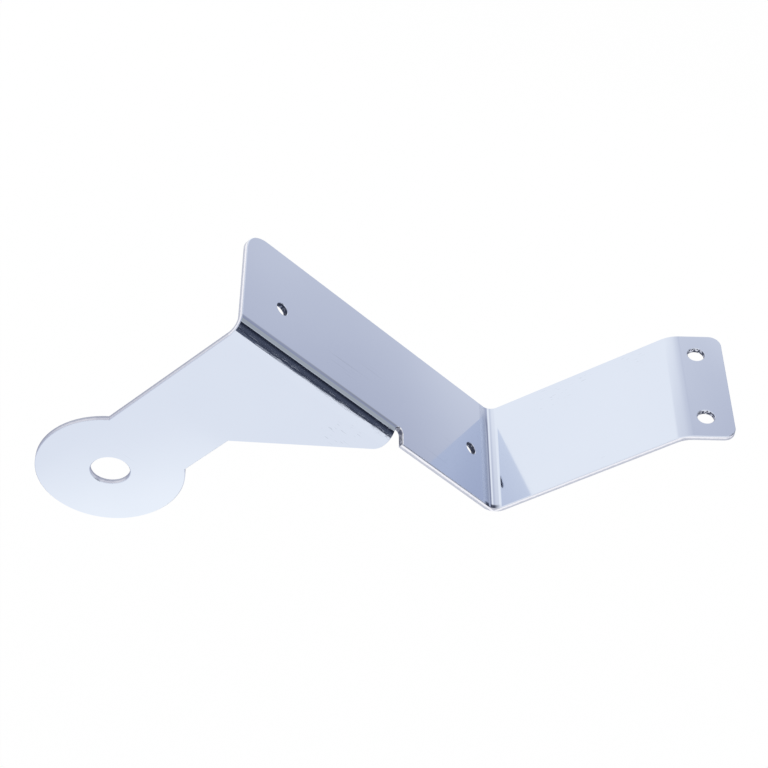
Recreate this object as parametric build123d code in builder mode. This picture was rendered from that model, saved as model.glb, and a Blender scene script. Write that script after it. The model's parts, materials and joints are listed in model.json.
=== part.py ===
"""Antenna bracket: one blank cut from stainless sheet, holed, and folded three times.

The origin is the centre of the antenna hole, on the arm's upper face. +Z points up along the
antenna, and +Y points from the back plate out along the arm. Lengths are in millimetres.
"""

import os
from math import radians, tan

from build123d import *

# Sheet and folding
sheet = 2.5
bend_inside = 4.5
tab_bend_inside = 10.5
edge_break = 0.25

# Upright strip: back plate, wing and fixing tab, measured along its front faces
strip_height = 55.5
strip_above_arm = 0.8
plate_past_hole = 13.0
wing_length = 85.5
wing_turn = 79.0
tab_length = 21.0
tab_turn_back = 34.0
plate_corner_radius = 10.0
tab_corner_radius = 5.0

# Arm, whose reach is measured from the back plate's front face to the antenna hole
arm_reach = 97.0
arm_root_width = 84.0
neck_width = 40.0
disc_diameter = 60.0
gusset_angle = 42.0
shoulder_radius = 5.0
shoulder_straight = 0.7

# Relief notch at the end of the arm's fold
relief_width = 4.0
relief_past_fold = 0.2

# Holes
antenna_hole_diameter = 16.0
plate_hole_diameter = 5.5
plate_hole_spacing = 110.0
plate_hole_height = 30.0
tab_hole_diameter = 7.0
tab_hole_spacing = 34.5
tab_hole_inset = 11.0

# Heights and distances that follow from the sizes
bend_outside = bend_inside + sheet
strip_top = strip_above_arm
strip_bottom = strip_top - strip_height
plate_front = -arm_reach
fold_end = plate_front + bend_outside
free_end = neck_width / 2
arm_side = free_end - arm_root_width
relief_middle = arm_side - relief_width / 2
relief_bottom = -bend_outside - relief_past_fold

# Corners of the strip's front faces in plan: the tab turns back after the wing
wing_direction = Vector(-1, 0).rotate(Axis.Z, wing_turn)
tab_direction = Vector(-1, 0).rotate(Axis.Z, wing_turn - tab_turn_back)
plate_start = Vector(free_end, plate_front)
wing_start = Vector(-plate_hole_spacing - plate_past_hole, plate_front)
tab_start = wing_start + wing_direction * wing_length
tab_end = tab_start + tab_direction * tab_length

# Corners of the arm's gusset, which widens the neck to the root
shoulder_turn = radians(90 - gusset_angle)
shoulder = fold_end + shoulder_straight + shoulder_radius * tan(shoulder_turn / 2)
gusset_end = shoulder + (arm_root_width - neck_width) * tan(radians(gusset_angle))

# Front faces of plate and tab, each with its y axis up and its z axis out of the metal
plate_face = Plane.XZ.offset(-plate_front)
tab_face = Plane(origin=tab_end, x_dir=-tab_direction, z_dir=tab_direction.rotate(Axis.Z, 90))

# A cut edge turns by at least this angle, and a smooth fold's edge by none
cut_edge_turn = 45.0


def is_cut_edge(edge, faces):
    """True where a face of the sheet meets the wall of a cut, false along a smooth fold."""
    normals = [face.normal_at(edge @ 0.5) for face in faces if edge in face.edges()]
    through_sheet = abs(edge.length - sheet) < edge_break / 10
    return len(normals) == 2 and normals[0].get_angle(normals[1]) > cut_edge_turn and not through_sheet


with BuildPart() as antenna_bracket:
    # Upright strip, folded in at the wing and back out at the tab
    with BuildSketch(Plane.XY.offset(strip_bottom)):
        with BuildLine():
            FilletPolyline(
                plate_start,
                wing_start,
                tab_start,
                tab_end,
                radius=[bend_inside, tab_bend_inside + sheet],
            )
            offset(amount=sheet, side=Side.RIGHT, closed=True)
        make_face()
    extrude(amount=strip_height)

    # The plate stops at the arm's fold, from its free end to the notch
    with BuildSketch(plate_face):
        with Locations((free_end, -bend_outside)):
            Rectangle(
                free_end - relief_middle,
                bend_outside + strip_top,
                align=(Align.MAX, Align.MIN),
            )
    extrude(amount=-sheet, mode=Mode.SUBTRACT)

    # Arm fold: a quarter turn of the sheet from the plate over to the arm
    with BuildSketch(Plane.YZ.offset(relief_middle)):
        with BuildLine():
            CenterArc((fold_end, -bend_outside), bend_outside, 90, 90)
            offset(amount=sheet, side=Side.LEFT, closed=True)
        make_face()
    extrude(amount=free_end - relief_middle)

    # Arm: gusseted root, straight neck and round antenna seat
    with BuildSketch(Plane.XY.offset(-sheet)):
        with BuildLine():
            FilletPolyline(
                (free_end, 0),
                (free_end, fold_end),
                (arm_side, fold_end),
                (arm_side, shoulder),
                (-neck_width / 2, gusset_end),
                (-neck_width / 2, 0),
                radius=[0, 0, 0, shoulder_radius, 0, 0],
                close=True,
            )
        make_face()
        Circle(disc_diameter / 2)
    extrude(amount=sheet)

    # Relief notch, cut with a round end through fold and plate alike
    with BuildSketch(plate_face):
        with Locations((relief_middle, relief_bottom + relief_width / 2)):
            Circle(relief_width / 2)
            Rectangle(relief_width, strip_height, align=(Align.CENTER, Align.MIN))
    extrude(amount=-bend_outside, mode=Mode.SUBTRACT)

    # Rounded corners: the plate's lower free corner and both corners of the tab
    plate_corner = (free_end, plate_front + sheet / 2, strip_bottom)
    tab_edge = tab_end - tab_face.z_dir * sheet / 2
    tab_corners = [tab_edge + Vector(0, 0, height) for height in (strip_bottom, strip_top)]
    fillet(antenna_bracket.edges().sort_by_distance(plate_corner)[0], plate_corner_radius)
    for corner in tab_corners:
        fillet(antenna_bracket.edges().sort_by_distance(corner)[0], tab_corner_radius)

    # Antenna hole
    with Locations(Plane.XY):
        Hole(antenna_hole_diameter / 2, depth=sheet)

    # Plate holes, the first in line with the antenna hole
    hole_height = strip_bottom + plate_hole_height
    with Locations(plate_face):
        with Locations((0, hole_height), (-plate_hole_spacing, hole_height)):
            Hole(plate_hole_diameter / 2, depth=sheet)

    # Tab holes, evenly above and below the tab's middle
    strip_middle = strip_bottom + strip_height / 2
    with Locations(tab_face):
        with Locations(
            (tab_hole_inset, strip_middle - tab_hole_spacing / 2),
            (tab_hole_inset, strip_middle + tab_hole_spacing / 2),
        ):
            Hole(tab_hole_diameter / 2, depth=sheet)

    # Every cut edge is deburred
    faces = antenna_bracket.faces()
    cut_edges = antenna_bracket.edges().filter_by(lambda edge: is_cut_edge(edge, faces))
    chamfer(cut_edges, edge_break)

antenna_bracket.part.label = "antenna_bracket"
os.makedirs("parts", exist_ok=True)
export_step(antenna_bracket.part, "parts/antenna_bracket.step")
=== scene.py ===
import json
import math

import bmesh
import bpy
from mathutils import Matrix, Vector

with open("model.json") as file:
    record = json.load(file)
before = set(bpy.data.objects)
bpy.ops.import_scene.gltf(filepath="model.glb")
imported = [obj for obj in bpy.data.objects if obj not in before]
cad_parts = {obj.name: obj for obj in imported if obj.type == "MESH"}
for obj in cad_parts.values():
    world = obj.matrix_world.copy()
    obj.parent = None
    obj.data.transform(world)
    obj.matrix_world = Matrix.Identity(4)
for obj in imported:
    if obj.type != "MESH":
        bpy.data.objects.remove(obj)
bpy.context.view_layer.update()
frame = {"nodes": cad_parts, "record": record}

# An antenna bracket of bright folded stainless sheet, in a plain white studio.

# Bracket
# One blank of bright stainless sheet, laser cut and folded three times. The sheet keeps its
# mirror-like rolled finish, with fine grain, light scratches and the marks of cutting, and painted
# shade and highlights at its folds, cut walls, holes and notch.
bracket = frame["nodes"]["antenna_bracket"]
mounts = {mount["name"]: mount for mount in frame["record"]["mounts"]}
plate_bolts, tab_bolts = mounts["plate_bolts"], mounts["tab_bolts"]

sheet_thickness = mounts["antenna_hole"]["dims"]["length_mm"] / 1000
plate_front = Vector(plate_bolts["pos_m"])
plate_normal = Vector(plate_bolts["axis"])
plate_end_x = 0.020
strip_top_z = 0.0008
strip_bottom_z = -0.0547
fold_radius = 0.007
fold_axis_y = plate_front.y + fold_radius
fold_axis_z = -fold_radius
arm_side_x = -0.064
notch_width = 0.004
wing_turn = math.radians(79)
wing_corner = Vector((-0.123, plate_front.y, 0))
wing_normal = Vector((math.sin(wing_turn), -math.cos(wing_turn), 0))
tab_front = Vector(tab_bolts["pos_m"])
tab_normal = Vector(tab_bolts["axis"])

sheet_colour = (0.72, 0.775, 0.885, 1.0)
sheet_shade_colour = (0.70, 0.755, 0.87, 1.0)
scratch_colour = (0.60, 0.65, 0.75, 1.0)
# The colour of the painted shade inside the fold between plate and wing.
fold_shade_colour = (0.46, 0.50, 0.61, 1.0)
# The colour of the painted reflection line where the arm's fold runs out into the plate.
arm_fold_shade_colour = (0.49, 0.52, 0.57, 1.0)
# The bright band of the cut walls is a painted highlight.
cut_highlight_colour = (0.90, 0.90, 0.96, 1.0)
cut_torn_colour = (0.60, 0.62, 0.70, 1.0)
cut_rim_colour = (0.36, 0.38, 0.47, 1.0)
# Pure white for a painted highlight along the notch's broken edge.
notch_highlight_colour = (1.0, 1.0, 1.0, 1.0)
# A dark colour for painted shade in the holes, the notch and at the upper end of the wing's fold.
painted_shade_colour = (0.07, 0.08, 0.12, 1.0)
burr_colour = (0.80, 0.82, 0.90, 1.0)

stainless = bpy.data.materials.new("bright_stainless")
stainless.use_nodes = True
nodes, links = stainless.node_tree.nodes, stainless.node_tree.links
steel = nodes["Principled BSDF"]
steel.inputs["Metallic"].default_value = 1.0


def feed(sockets, sources):
    """Fills input sockets in order, from other nodes or from plain values."""
    for socket, source in zip(sockets, sources):
        if isinstance(source, bpy.types.NodeSocket):
            links.new(source, socket)
        else:
            socket.default_value = source


def math_node(operation, *sources):
    """A Math node's result."""
    node = nodes.new("ShaderNodeMath")
    node.operation = operation
    feed(node.inputs, sources)
    return node.outputs[0]


def vector_node(operation, *sources):
    """A Vector Math node's result, which is a number for a length or a dot product."""
    node = nodes.new("ShaderNodeVectorMath")
    node.operation = operation
    feed(node.inputs, sources)
    return node.outputs["Value" if operation in ("LENGTH", "DOT_PRODUCT") else "Vector"]


def split_node(vector):
    """A vector's three numbers, named X, Y and Z."""
    node = nodes.new("ShaderNodeSeparateXYZ")
    links.new(vector, node.inputs[0])
    return node.outputs


def noise_node(cycles_per_metre, detail, turn=0.0):
    """Noise on the bracket's own coordinates, turned by some degrees about the upright."""
    mapping = nodes.new("ShaderNodeMapping")
    mapping.inputs["Rotation"].default_value = (0, 0, math.radians(turn))
    mapping.inputs["Scale"].default_value = cycles_per_metre
    noise = nodes.new("ShaderNodeTexNoise")
    noise.inputs["Scale"].default_value = 1.0
    noise.inputs["Detail"].default_value = detail
    links.new(place, mapping.inputs["Vector"])
    links.new(mapping.outputs["Vector"], noise.inputs["Vector"])
    return noise.outputs["Fac"]


def product(*shares):
    """1 only where every share is 1."""
    result = shares[0]
    for share in shares[1:]:
        result = math_node("MULTIPLY", result, share)
    return result


def opposite(share):
    """1 where share is 0, and 0 where it is 1."""
    return math_node("SUBTRACT", 1.0, share)


def choose(share, first, second):
    """The number first where share is 0, and second where it is 1."""
    return math_node("ADD", product(first, opposite(share)), product(second, share))


def smooth_step(value, start, end):
    """0 before start, 1 past end and a smooth rise between them, whichever of them is larger."""
    node = nodes.new("ShaderNodeMapRange")
    node.interpolation_type = "SMOOTHSTEP"
    node.inputs["From Min"].default_value = start
    node.inputs["From Max"].default_value = end
    links.new(value, node.inputs["Value"])
    return node.outputs["Result"]


def distance(value, middle):
    """How far value is from middle, to either side."""
    return math_node("ABSOLUTE", math_node("SUBTRACT", value, middle))


def colour_mix(share, first, second):
    """The colour first where share is 0, and second where it is 1."""
    node = nodes.new("ShaderNodeMix")
    node.data_type = "RGBA"
    links.new(share, node.inputs["Factor"])
    feed([socket for socket in node.inputs if socket.type == "RGBA"], (first, second))
    return next(socket for socket in node.outputs if socket.type == "RGBA")


place = nodes.new("ShaderNodeTexCoord").outputs["Object"]
facing = nodes.new("ShaderNodeNewGeometry").outputs["Normal"]
x, y, z = split_node(place)

# Broad clouds in the sheet's finish, and fine specks in the painted shade of the small holes and the
# notch.
cloudy = noise_node((35, 35, 35), 2.0)
shade_specks = noise_node((1100, 1100, 700), 2.0)

# Stretches of the sheet. All that lies beside the notch counts with the arm, and the wing's
# stretch starts where its fold does and takes in the tab.
from_wing_corner = math_node("SUBTRACT", x, wing_corner.x)
arm_stretch = math_node("GREATER_THAN", x, arm_side_x - notch_width / 2)
wing_stretch = math_node("LESS_THAN", from_wing_corner, 0.0065)
on_arm = math_node("GREATER_THAN", y, fold_axis_y)
on_front = math_node("LESS_THAN", y, plate_front.y + 0.001)

# Which way the sheet faces here: forward on the plate, round the fold, and up on the arm. The
# tab's way serves for the wing too, which isn't turned far from it.
out_of_plate = math_node("MINIMUM", math_node("SUBTRACT", y, fold_axis_y), 0.0)
above_fold_axis = math_node("MAXIMUM", math_node("SUBTRACT", z, fold_axis_z), 0.0)
up_the_fold = product(above_fold_axis, arm_stretch)
across_fold_node = nodes.new("ShaderNodeCombineXYZ")
feed(across_fold_node.inputs, (0.0, out_of_plate, up_the_fold))
across_fold = across_fold_node.outputs[0]
sheet_side = vector_node("NORMALIZE", across_fold)
along_plate_side = math_node("ABSOLUTE", vector_node("DOT_PRODUCT", facing, sheet_side))
along_tab_side = math_node("ABSOLUTE", vector_node("DOT_PRODUCT", facing, tab_normal))
along_side = choose(wing_stretch, along_plate_side, along_tab_side)

# A cut wall turns right away from the sheet's side, and its broken edge about half as far.
cut_below = 0.5
broken_edge_below = 0.82
cut = math_node("LESS_THAN", along_side, cut_below)
broken_edge = product(math_node("LESS_THAN", along_side, broken_edge_below), opposite(cut))


def depth_behind(front, normal):
    """How deep this lies behind a flat front face, from 0 at the front to 1 at the back."""
    out_of_front = vector_node("DOT_PRODUCT", vector_node("SUBTRACT", place, front), normal)
    return math_node("DIVIDE", out_of_front, -sheet_thickness)


plate_depth = depth_behind(plate_front, plate_normal)
wing_depth = depth_behind(wing_corner, wing_normal)
tab_depth = depth_behind(tab_front, tab_normal)
strip_depth = math_node("MAXIMUM", plate_depth, math_node("MINIMUM", wing_depth, tab_depth))
into_fold = math_node("SUBTRACT", fold_radius, vector_node("LENGTH", across_fold))
arm_depth = math_node("DIVIDE", into_fold, sheet_thickness)
depth = choose(arm_stretch, strip_depth, arm_depth)


def bore_mask(mount, hole_spacing):
    """1 on the walls of a mount's two holes, which lie to either side of its middle."""
    past_wall = 0.00004
    reach = mount["dims"]["hole_r_mm"] / 1000 + past_wall
    mask = 0.0
    for side in (-0.5, 0.5):
        hole_centre = Vector(mount["pos_m"]) + hole_spacing * side
        from_centre = vector_node("SUBTRACT", place, hole_centre)
        from_axis = vector_node("CROSS_PRODUCT", from_centre, Vector(mount["axis"]))
        inside = math_node("LESS_THAN", vector_node("LENGTH", from_axis), reach)
        mask = math_node("MAXIMUM", inside, mask)
    return mask


# The small holes and the relief notch have painted shade inside, dark and mottled. The notch's zone
# reaches past its round end.
past_notch = 0.0026
plate_bore = bore_mask(plate_bolts, Vector((plate_bolts["dims"]["spacing_x_mm"] / 1000, 0, 0)))
tab_bore = bore_mask(tab_bolts, Vector((0, 0, tab_bolts["dims"]["pcd_mm"] / 1000)))
bore = math_node("MAXIMUM", plate_bore, tab_bore)
in_notch = product(
    math_node("GREATER_THAN", x, arm_side_x - notch_width - past_notch),
    math_node("LESS_THAN", x, arm_side_x + 0.0005),
    math_node("LESS_THAN", y, fold_axis_y),
    math_node("LESS_THAN", z, strip_top_z - 0.0004),
)

# Faint press marks streak the upper half of the arm's fold, and blotches lie on it by the notch.
on_fold = math_node("LESS_THAN", y, fold_axis_y - 0.0003)
streaks = product(
    smooth_step(noise_node((160, 2200, 2200), 3.0), 0.50, 0.66),
    smooth_step(up_the_fold, fold_radius / 2, 0.0050),
    smooth_step(up_the_fold, fold_radius, 0.0066),
)
blotches = product(
    smooth_step(noise_node((320, 850, 850), 2.0), 0.52, 0.62),
    smooth_step(up_the_fold, 0.0008, 0.0020),
    smooth_step(x, arm_side_x + 0.020, arm_side_x + 0.002),
)
press_marks = product(math_node("MAXIMUM", streaks, blotches), on_fold)

# A few hairline scratches run along the sheet, and short ones mark a spot on the arm's root.
scratched_spot = Vector((-0.047, -0.083, 0))
along_arm = noise_node((30, 1900, 1900), 0.0, turn=12)
along_wing = noise_node((1900, 30, 1900), 0.0, turn=13)
hairlines = product(
    smooth_step(choose(wing_stretch, along_arm, along_wing), 0.72, 0.80),
    smooth_step(noise_node((30, 30, 30), 1.0), 0.60, 0.72),
)
from_scratched_spot = vector_node("LENGTH", vector_node("SUBTRACT", place, scratched_spot))
short_scratches = product(
    smooth_step(noise_node((240, 1300, 1300), 0.0, turn=-25), 0.70, 0.78),
    smooth_step(from_scratched_spot, 0.010, 0.006),
)
scratches = math_node("MAXIMUM", hairlines, short_scratches)

# The fold between plate and wing gets a darker line of painted shade inside. Two dark patches at its
# upper end paint the reflection of the bulge that folding leaves there, and a faint dark line of
# painted reflection marks where the arm's fold runs out into the plate.
fold_end_shade_depth = 0.18
fold_shade = product(
    smooth_step(from_wing_corner, 0.0058, 0.0030),
    math_node("GREATER_THAN", from_wing_corner, 0.0018),
    smooth_step(z, strip_bottom_z + 0.0017, strip_bottom_z + 0.0107),
    on_front,
)
# Two dark patches of painted reflection, one to each side of a light gap, at the fold's upper end.
from_fold_end_shade_middle = distance(from_wing_corner, 0.0027)
uneven_height = math_node("MULTIPLY_ADD", cloudy, 0.0012, z)
fold_end_shade = product(
    smooth_step(from_fold_end_shade_middle, 0.0036, 0.0016),
    smooth_step(from_fold_end_shade_middle, 0.0002, 0.0006),
    smooth_step(uneven_height, strip_top_z - 0.0014, strip_top_z - 0.0006),
    math_node("LESS_THAN", depth, fold_end_shade_depth),
)
# A painted reflection: a faint dark line along the arm's fold, stronger towards the notch.
towards_notch = smooth_step(x, plate_end_x, arm_side_x + 0.004)
arm_fold_shade = product(
    smooth_step(distance(z, fold_axis_z + 0.0003), 0.0009, 0.0002),
    math_node("MULTIPLY_ADD", towards_notch, 0.6, 0.4),
    on_front,
    arm_stretch,
)

# The colour of the sheet's two sides.
sheet_tone = colour_mix(cloudy, sheet_colour, sheet_shade_colour)
for share, colour in (
    (scratches, scratch_colour),
    (fold_shade, fold_shade_colour),
    (arm_fold_shade, arm_fold_shade_colour),
    (fold_end_shade, painted_shade_colour),
):
    sheet_tone = colour_mix(share, sheet_tone, colour)

# The colour of the cut walls: a bright band that is a painted highlight, then the torn band of the
# cut, and dark rims at front and back, where the front one is painted shade. The arm's walls are
# duller, and the notch's have painted shade.
ragged_edge = noise_node((700, 700, 700), 2.0)
ragged_depth = math_node("MULTIPLY_ADD", ragged_edge, 0.3, math_node("SUBTRACT", depth, 0.15))
torn = smooth_step(ragged_depth, 0.42, 0.60)
# Painted shade: a dark line along the front rim of each cut wall.
front_rim_shade = math_node("MULTIPLY", smooth_step(depth, 0.18, 0.12), 0.7)
back_rim = math_node("MULTIPLY", smooth_step(ragged_depth, 0.82, 0.94), 0.45)
notch_tone = colour_mix(smooth_step(shade_specks, 0.40, 0.70), painted_shade_colour, cut_rim_colour)
cut_tone = colour_mix(torn, cut_highlight_colour, cut_torn_colour)
for share, colour in (
    (math_node("MAXIMUM", front_rim_shade, back_rim), cut_rim_colour),
    (math_node("MULTIPLY", on_arm, 0.35), cut_rim_colour),
    (math_node("MULTIPLY", in_notch, 0.85), notch_tone),
):
    cut_tone = colour_mix(share, cut_tone, colour)

# The colour of the whole bracket. Painted shade fills the plate's holes all round and the tab's in
# patches.
plate_bore_tone = colour_mix(smooth_step(shade_specks, 0.52, 0.75), painted_shade_colour, cut_torn_colour)
tab_bore_tone = colour_mix(smooth_step(shade_specks, 0.46, 0.56), painted_shade_colour, burr_colour)
bracket_tone = sheet_tone
for share, colour in (
    (cut, cut_tone),
    # The notch's broken edge gets a painted highlight.
    (product(in_notch, broken_edge), notch_highlight_colour),
    (plate_bore, plate_bore_tone),
    (tab_bore, tab_bore_tone),
):
    bracket_tone = colour_mix(share, bracket_tone, colour)
links.new(bracket_tone, steel.inputs["Base Color"])

# The gloss: marks and scratches are duller than the sheet, and what is cut is duller still.
broken_edge_roughness = 0.30
bore_roughness = 0.5
roughness = math_node("MULTIPLY_ADD", cloudy, 0.05, 0.045)
roughness = math_node("MULTIPLY_ADD", scratches, 0.10, roughness)
roughness = math_node("MULTIPLY_ADD", press_marks, 0.16, roughness)
cut_roughness = math_node("MULTIPLY_ADD", torn, 0.15, 0.27)
for share, least in ((cut, cut_roughness), (broken_edge, broken_edge_roughness), (bore, bore_roughness)):
    roughness = math_node("MAXIMUM", roughness, math_node("MULTIPLY", share, least))
links.new(roughness, steel.inputs["Roughness"])

# The relief, whose heights are in metres: the sheet is never quite flat.
waviness = noise_node((9, 9, 9), 0.0)
grain = noise_node((60, 3000, 3000), 1.0)
cut_lines = product(noise_node((2600, 2600, 2600), 2.0), cut)
relief_height = math_node("MULTIPLY", waviness, 0.00022)
for pattern, height in (
    (grain, 0.0000002),
    (scratches, -0.0000015),
    (press_marks, 0.0000018),
    (cut_lines, 0.00004),
):
    relief_height = math_node("MULTIPLY_ADD", pattern, height, relief_height)
relief = nodes.new("ShaderNodeBump")
relief.inputs["Strength"].default_value = 1.0
relief.inputs["Distance"].default_value = 1.0
links.new(relief_height, relief.inputs["Height"])
links.new(relief.outputs["Normal"], steel.inputs["Normal"])

for material_slot in bracket.material_slots:
    material_slot.material = stainless

# Floor
# A wide sheet of white paper, well below the bracket, which hangs by its mount. It stays white
# in the picture and in the metal, and still takes the bracket's soft shadow.
floor_drop = 0.50
floor_size = 16.0
floor_glow_share = 0.7
white = (1.0, 1.0, 1.0, 1.0)
paper_colour = (0.97, 0.97, 0.97, 1.0)

floor_mesh = bpy.data.meshes.new("floor")
shape = bmesh.new()
bmesh.ops.create_grid(shape, x_segments=1, y_segments=1, size=floor_size / 2)
bmesh.ops.translate(shape, verts=shape.verts, vec=(0, 0, -floor_drop))
shape.to_mesh(floor_mesh)
shape.free()
floor = bpy.data.objects.new("floor", floor_mesh)
bpy.context.scene.collection.objects.link(floor)


def seen_or_mirrored():
    """1 where the camera sees a thing, be it in metal or through glass, and 0 where it only lights."""
    rays = nodes.new("ShaderNodeLightPath").outputs
    seen = math_node("MAXIMUM", rays["Is Camera Ray"], rays["Is Glossy Ray"])
    return math_node("MAXIMUM", seen, rays["Is Transmission Ray"])


floor_paper = bpy.data.materials.new("floor_paper")
floor_paper.use_nodes = True
nodes, links = floor_paper.node_tree.nodes, floor_paper.node_tree.links
paper = nodes["Principled BSDF"]
paper.inputs["Base Color"].default_value = paper_colour
paper.inputs["Roughness"].default_value = 0.9
glow = nodes.new("ShaderNodeEmission")
glow.inputs["Color"].default_value = white
glow_share = math_node("MULTIPLY", seen_or_mirrored(), floor_glow_share)
paper_and_glow = nodes.new("ShaderNodeMixShader")
feed(paper_and_glow.inputs, (glow_share, paper.outputs[0], glow.outputs[0]))
links.new(paper_and_glow.outputs[0], nodes["Material Output"].inputs["Surface"])
floor_mesh.materials.append(floor_paper)

# Backdrop
# An even white room all round, which lights floor and bracket a little less than it shows, so
# that the lamp's share brings the floor to white.
room_light = 0.75

room = bpy.data.worlds.new("white_room")
room.use_nodes = True
nodes, links = room.node_tree.nodes, room.node_tree.links
background = nodes["Background"]
background.inputs["Color"].default_value = white
room_strength = math_node("MULTIPLY_ADD", seen_or_mirrored(), 1 - room_light, room_light)
links.new(room_strength, background.inputs["Strength"])
bpy.context.scene.world = room

# Surround
# The cloths and boards that a photographer sets round bright metal so that its faces have
# something to mirror. They are seen in the metal alone, and cast no shadow.
surround_middle = Vector((-0.05, -0.10, 0))
surround_drop = 0.48
surround_radius = 3.0


def add_surround(name, shape):
    """A finished shape as a piece of the surround, which the camera and the lamp don't see."""
    mesh = bpy.data.meshes.new(name)
    shape.to_mesh(mesh)
    shape.free()
    piece = bpy.data.objects.new(name, mesh)
    bpy.context.scene.collection.objects.link(piece)
    piece.visible_camera = False
    piece.visible_diffuse = False
    piece.visible_transmission = False
    piece.visible_volume_scatter = False
    piece.visible_shadow = False
    return piece


def start_paint(piece):
    """Gives a piece a material that only glows, and returns its coordinates about the middle."""
    global nodes, links
    paint = bpy.data.materials.new(f"{piece.name}_paint")
    paint.use_nodes = True
    paint.cycles.emission_sampling = "NONE"
    piece.data.materials.append(paint)
    nodes, links = paint.node_tree.nodes, paint.node_tree.links
    nodes.remove(nodes["Principled BSDF"])
    own_place = nodes.new("ShaderNodeTexCoord").outputs["Object"]
    return vector_node("SUBTRACT", own_place, surround_middle)


def round_share(about_middle):
    """How far round the surround this lies, from 0 in the west by south, east and north to 1."""
    east, north = split_node(about_middle)[:2]
    return math_node("MULTIPLY_ADD", math_node("ARCTAN2", north, east), 1 / (2 * math.pi), 0.5)


def tone_ramp(value, stops):
    """A tone, where 1 is white, for each place along value, smooth between the stops."""
    # A ramp holds no tone above 1, so each stop is a share of the brightest.
    brightest = max(tone for spot, tone in stops)
    ramp = nodes.new("ShaderNodeValToRGB")
    ramp.color_ramp.interpolation = "CARDINAL" if len(stops) > 3 else "EASE"
    for number, (spot, tone) in enumerate(stops):
        if number > 1:
            ramp.color_ramp.elements.new(spot)
        share = tone / brightest
        ramp.color_ramp.elements[number].position = spot
        ramp.color_ramp.elements[number].color = (share, share, share, 1.0)
    links.new(value, ramp.inputs[0])
    return math_node("MULTIPLY", ramp.outputs["Color"], brightest)


def finish_paint(tone, blue_power=0.70):
    """Makes the paint in hand glow with a tone, bluer where it is darker."""
    cool = nodes.new("ShaderNodeCombineXYZ")
    feed(cool.inputs, (tone, math_node("POWER", tone, 0.95), math_node("POWER", tone, blue_power)))
    glow = nodes.new("ShaderNodeEmission")
    links.new(cool.outputs[0], glow.inputs["Color"])
    links.new(glow.outputs[0], nodes["Material Output"].inputs["Surface"])


# The ground cloth is light by the bracket and greyer further out. It is lighter or darker from
# side to side, as the faces of the bracket are that mirror it.
brightest_cloth = 1.045
shape = bmesh.new()
bmesh.ops.create_circle(shape, cap_ends=True, segments=96, radius=surround_radius)
bmesh.ops.translate(shape, verts=shape.verts, vec=surround_middle - Vector((0, 0, surround_drop)))
ground_cloth = add_surround("ground_cloth", shape)
about_middle = start_paint(ground_cloth)
out_from_middle = vector_node("LENGTH", vector_node("MULTIPLY", about_middle, (1, 1, 0)))
round_tone = tone_ramp(round_share(about_middle), [
    (0.00, 1.20), (0.06, 1.30), (0.097, 1.22), (0.110, 1.02), (0.123, 0.92), (0.153, 0.88),
    (0.185, 0.80), (0.21, 0.95), (0.235, 1.75), (0.265, 1.75), (0.287, 1.21), (0.3005, 1.25),
    (0.3045, 1.12), (0.311, 1.09), (0.322, 1.24), (0.361, 1.37), (0.435, 1.38), (0.455, 1.43),
    (0.475, 1.75), (0.49, 1.90), (0.60, 1.90), (0.68, 1.25), (0.78, 0.95), (0.90, 0.90),
    (1.00, 1.20),
])
out_tone = tone_ramp(math_node("DIVIDE", out_from_middle, surround_radius), [
    (0.0, 1.0), (0.09, 0.88), (0.123, 0.76), (0.146, 0.68), (0.161, 0.63), (0.173, 0.595),
    (0.188, 0.56), (0.20, 0.525), (0.222, 0.465), (0.30, 0.38), (0.50, 0.36), (1.0, 0.50),
])
finish_paint(math_node("MINIMUM", math_node("MULTIPLY", round_tone, out_tone), brightest_cloth))

# The tent's wall has soft light panels all round, and its roof runs to white overhead.
panels_fade_from = 0.1
panels_fade_to = 1.1
shape = bmesh.new()
bmesh.ops.create_uvsphere(shape, u_segments=64, v_segments=32, radius=surround_radius)
bmesh.ops.translate(shape, verts=shape.verts, vec=surround_middle)
bmesh.ops.bisect_plane(
    shape, geom=shape.verts[:] + shape.edges[:] + shape.faces[:],
    plane_co=(0, 0, -surround_drop), plane_no=(0, 0, 1), clear_inner=True,
)
tent = add_surround("tent", shape)
about_middle = start_paint(tent)
up = split_node(about_middle)["Z"]
panel_tone = tone_ramp(round_share(about_middle), [
    (0.00, 0.95), (0.06, 0.55), (0.15, 0.48), (0.20, 0.60), (0.26, 0.98), (0.33, 0.60),
    (0.40, 0.52), (0.47, 0.90), (0.53, 0.95), (0.60, 0.50), (0.68, 0.58), (0.76, 0.98),
    (0.83, 0.70), (0.88, 0.42), (0.94, 0.70), (1.00, 0.95),
])
roof_tone = tone_ramp(math_node("DIVIDE", up, surround_radius), [
    (0.0, 0.5), (0.15, 0.52), (0.32, 0.68), (0.52, 0.93), (0.67, 0.985), (1.0, 1.0),
])
finish_paint(choose(smooth_step(up, panels_fade_from, panels_fade_to), panel_tone, roof_tone))


def add_board(name, outline, plane_y):
    """An upright board from its outline, whose points are across and up."""
    shape = bmesh.new()
    shape.faces.new([shape.verts.new((across, plane_y, up)) for across, up in outline])
    return add_surround(name, shape)


# The dark board at the front left is what the arm's fold mirrors. Its left side leans out
# towards the top, because the round fold shows it bent.
board_y = -0.9
board_left, board_right = -0.85, -0.35
board_foot, board_top = -0.005, 2.1
board_tone_height = 2.4
dark_board = add_board("dark_board", [
    (board_left, board_foot), (board_right, board_foot), (board_right, board_top),
    (-1.21, board_top), (-1.0, 1.45), (-0.89, 1.07),
], board_y)
up = split_node(start_paint(dark_board))["Z"]
board_tone = tone_ramp(math_node("DIVIDE", up, board_tone_height), [
    (0.0, 0.018), (0.07, 0.024), (0.15, 0.065), (0.25, 0.07), (0.39, 0.05), (0.5, 0.09),
    (1.0, 0.11),
])
finish_paint(board_tone, blue_power=0.82)

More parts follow.
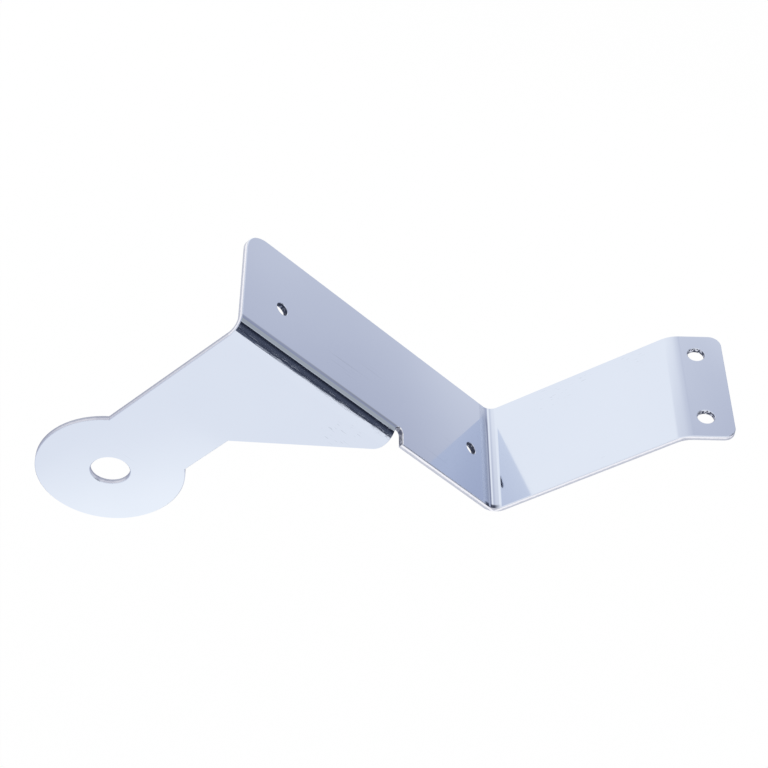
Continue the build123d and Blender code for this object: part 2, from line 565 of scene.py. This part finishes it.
# The grey strip goes on below the dark board and gives the fold its grey edge to the plate.
strip_foot = -0.475
strip_height = board_foot - strip_foot
grey_strip = add_board("grey_strip", [
    (board_left, strip_foot), (board_right, strip_foot),
    (board_right, board_foot), (board_left, board_foot),
], board_y)
up = split_node(start_paint(grey_strip))["Z"]
up_the_strip = math_node("DIVIDE", math_node("SUBTRACT", up, strip_foot), strip_height)
strip_tone = tone_ramp(up_the_strip, [
    (0.0, 0.42), (0.30, 0.45), (0.66, 0.44), (0.85, 0.47), (0.92, 0.60), (1.0, 0.62),
])
finish_paint(strip_tone, blue_power=0.92)

# The window lies flat overhead at the back left and brightens the round end of the arm.
window_left, window_right = -1.9, -0.76
window_near, window_far = 1.0, 2.4
window_height = 1.2
bright_from = 1.3
shape = bmesh.new()
bmesh.ops.create_grid(shape, x_segments=1, y_segments=1, size=0.5)
bmesh.ops.scale(
    shape, verts=shape.verts, vec=(window_right - window_left, window_far - window_near, 1),
)
bmesh.ops.translate(
    shape, verts=shape.verts,
    vec=((window_left + window_right) / 2, (window_near + window_far) / 2, window_height),
)
window = add_surround("window", shape)
east, north = split_node(start_paint(window))[:2]
to_back_left = math_node("SUBTRACT", math_node("MULTIPLY", north, 0.5), east)
into_window = math_node("SUBTRACT", to_back_left, bright_from)
finish_paint(tone_ramp(into_window, [(0.0, 0.99), (0.25, 1.16)]))

# Lamp
# One large soft lamp, high above the plate's free end and the arm's round end. It lights the
# floor and gives the bracket its soft shadow, and the metal doesn't mirror it.
softbox_data = bpy.data.lights.new("softbox", "SUN")
softbox_data.energy = 1.0
softbox_data.angle = math.radians(40)
softbox = bpy.data.objects.new("softbox", softbox_data)
softbox.rotation_euler = (math.radians(-15), math.radians(20), 0)
softbox.visible_glossy = False
bpy.context.scene.collection.objects.link(softbox)

# Camera
# A long lens above the front right of the bracket, where the photograph is taken from. It is
# held upside down, so that the arm's end is low in the picture.
camera_azimuth = math.radians(46.912)
camera_elevation = math.radians(43.575)
camera_data = bpy.data.cameras.new("camera")
camera_data.sensor_width = 36.0
camera_data.lens = 85.96
camera = bpy.data.objects.new("camera", camera_data)
camera.location = (0.33127, -0.46017, 0.48128)
camera.rotation_euler = (camera_elevation - math.pi / 2, 0, camera_azimuth + math.pi)
bpy.context.scene.collection.objects.link(camera)
bpy.context.scene.camera = camera
bpy.context.scene.view_settings.view_transform = "Standard"
